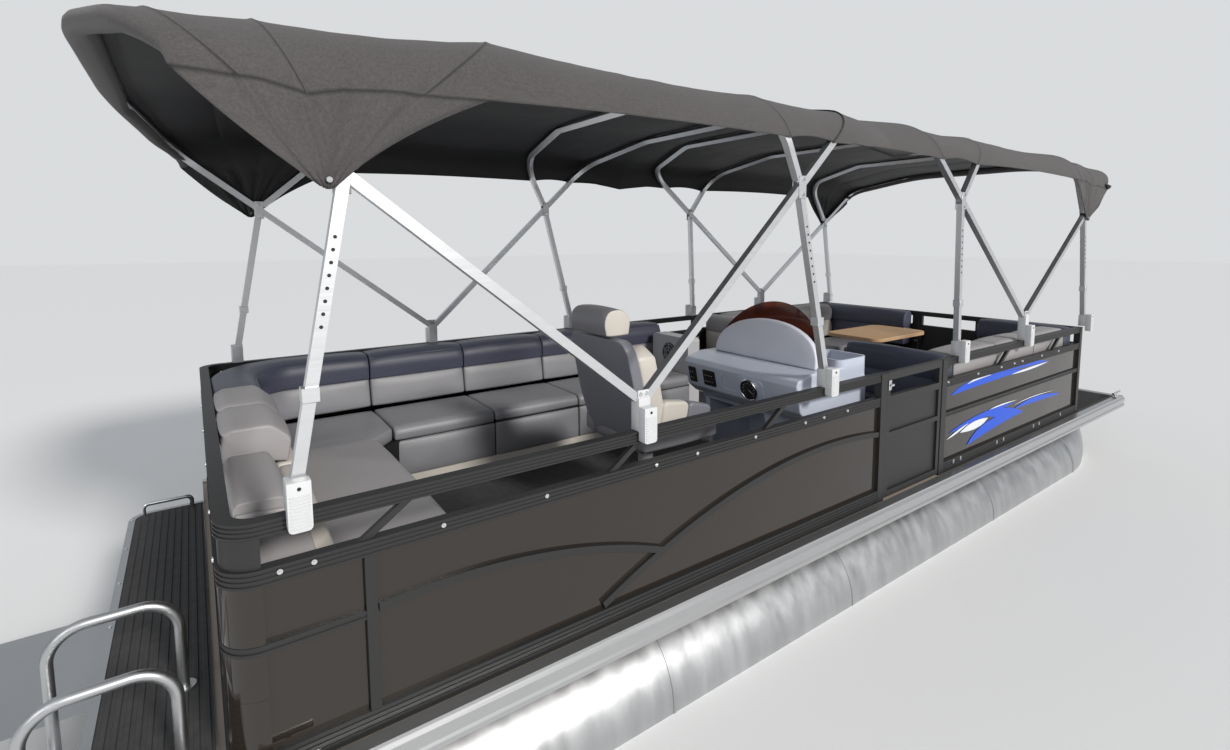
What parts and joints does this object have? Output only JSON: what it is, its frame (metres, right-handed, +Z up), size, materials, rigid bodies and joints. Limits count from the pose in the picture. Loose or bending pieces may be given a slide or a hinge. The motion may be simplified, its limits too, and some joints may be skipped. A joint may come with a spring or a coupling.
{
  "type": "pontoon boat",
  "caption": "Twin-tube pontoon boat: fenced deck with gates, lounges and swivelling helm chair, framed sun tops, swim ladder and tilting, steering outboard motor.",
  "frame": {"origin": "under the middle of the boat, on the surface that its two keels rest on", "axes": "+X towards the bow, +Y to port, +Z up"},
  "size_m": [8.5794, 2.59, 2.938],
  "materials": {
    "tube_aluminium": "satin mill finish",
    "frame_aluminium": "mill finish",
    "rub_aluminium": "brushed, bright",
    "deck_board": "sealed board",
    "ribbed_mat": "ribbed matte",
    "platform_frame": "satin",
    "fence_black": "gloss black",
    "panel_bronze": "gloss, reflecting",
    "seat_plastic": "moulded, satin",
    "vinyl_light": "satin vinyl",
    "vinyl_slate": "satin vinyl",
    "console_white": "gloss moulding",
    "screen_bronze": "tinted clear",
    "instrument_black": "satin",
    "speaker_black": "grille",
    "steel_bright": "polished",
    "pedestal_grey": "satin",
    "teak": "oiled slats",
    "top_tube": "satin",
    "foot_white": "ribbed moulding",
    "canvas_black": "woven",
    "ladder_aluminium": "satin",
    "motor_black": "gloss",
    "motor_grey": "satin",
    "prop_steel": "satin"
  },
  "bodies": {
    "boat": {"starboard_pontoon": "tube_aluminium", "port_pontoon": "tube_aluminium", "pontoon_brackets": "frame_aluminium", "towing_eyes": "tube_aluminium", "cross_members": "frame_aluminium", "deck_floor": "deck_board", "deck_mats": "ribbed_mat", "rub_rails": "rub_aluminium", "swim_platform": "platform_frame", "platform_grab_rail": "steel_bright", "mooring_cleats": "steel_bright", "motor_pod": "tube_aluminium", "fence_frame_stern": "fence_black", "fence_frame_starboard": "fence_black", "fence_frame_port": "fence_black", "fence_frame_bow": "fence_black", "fence_panels_aft": "panel_bronze", "fence_panels_bow": "panel_bronze", "grab_rail_stern": "fence_black", "grab_rail_sides": "fence_black", "grab_rail_bow": "fence_black", "gate_hinges": "steel_bright", "lounge_base_aft": "seat_plastic", "lounge_bases_bow": "seat_plastic", "aft_seat_cushions": "vinyl_light", "aft_backrests": "vinyl_slate", "stern_headrests": "vinyl_light", "speaker_pod": "seat_plastic", "speaker": "speaker_black", "bow_seat_cushions": "vinyl_light", "bow_backrests": "vinyl_slate", "helm_console": "console_white", "console_pad": "vinyl_light", "windscreen": "screen_bronze", "dash_instruments": "instrument_black", "chair_pedestal": "pedestal_grey", "table_top": "teak", "table_leg": "pedestal_grey", "top_frame_aft": "top_tube", "top_frame_forward": "top_tube", "top_feet": "foot_white", "canopy_aft": "canvas_black", "canopy_joint": "canvas_black", "canopy_forward": "canvas_black", "ladder_upper": "ladder_aluminium", "motor_clamp": "motor_grey"},
    "side_gate": {"side_gate": "fence_black"},
    "port_gate": {"port_gate": "fence_black"},
    "bow_gate": {"bow_gate": "fence_black"},
    "port_seat_lid": {"port_seat_lid": "vinyl_light"},
    "bow_starboard_seat_lid": {"bow_starboard_seat_lid": "vinyl_light"},
    "bow_port_seat_lid": {"bow_port_seat_lid": "vinyl_light"},
    "helm_chair": {"helm_chair_seat": "vinyl_light", "helm_chair_back": "vinyl_slate"},
    "ladder_lower": {"ladder_lower": "ladder_aluminium"},
    "motor_swivel": {"motor_swivel": "motor_grey"},
    "outboard": {"motor_leg": "motor_grey", "motor_cowl": "motor_black"},
    "propeller": {"propeller": "prop_steel"}
  },
  "joints": [
    {"name": "side_gate_hinge", "type": "hinge", "parent": "boat", "child": "side_gate", "pos_m": [1.15071, -1.168, 1.1345], "axis": [0, 0, -1], "range_deg": [0, 90]},
    {"name": "port_gate_hinge", "type": "hinge", "parent": "boat", "child": "port_gate", "pos_m": [1.40071, 1.168, 1.1345], "axis": [0, 0, 1], "range_deg": [0, 90]},
    {"name": "bow_gate_hinge", "type": "hinge", "parent": "boat", "child": "bow_gate", "pos_m": [3.32471, 0.094, 1.1345], "axis": [0, 0, -1], "range_deg": [0, 90]},
    {"name": "port_seat_lid_hinge", "type": "hinge", "parent": "boat", "child": "port_seat_lid", "pos_m": [-0.63079, 0.905, 1.145], "axis": [-1, 0, 0], "range_deg": [0, 75]},
    {"name": "bow_starboard_seat_lid_hinge", "type": "hinge", "parent": "boat", "child": "bow_starboard_seat_lid", "pos_m": [2.30671, -0.905, 1.145], "axis": [1, 0, 0], "range_deg": [0, 75]},
    {"name": "bow_port_seat_lid_hinge", "type": "hinge", "parent": "boat", "child": "bow_port_seat_lid", "pos_m": [2.30671, 0.905, 1.145], "axis": [-1, 0, 0], "range_deg": [0, 75]},
    {"name": "helm_chair_swivel", "type": "hinge", "parent": "boat", "child": "helm_chair", "pos_m": [-0.54329, -0.56, 1.199], "axis": [0, 0, 1], "continuous": true},
    {"name": "ladder_fold", "type": "hinge", "parent": "boat", "child": "ladder_lower", "pos_m": [-2.84829, -0.87, 0.385], "axis": [0, -1, 0], "range_deg": [0, 170]},
    {"name": "motor_tilt", "type": "hinge", "parent": "boat", "child": "motor_swivel", "pos_m": [-3.46829, 0, 0.66], "axis": [0, 1, 0], "range_deg": [-40, 25]},
    {"name": "motor_steer", "type": "hinge", "parent": "motor_swivel", "child": "outboard", "pos_m": [-3.52191, 0, 0.705], "axis": [0.6428, 0, 0.766], "range_deg": [-30, 30]},
    {"name": "propeller_spin", "type": "hinge", "parent": "outboard", "child": "propeller", "pos_m": [-4.20448, 0, 0.44227], "axis": [0.766, 0, -0.6428], "continuous": true}
  ]
}
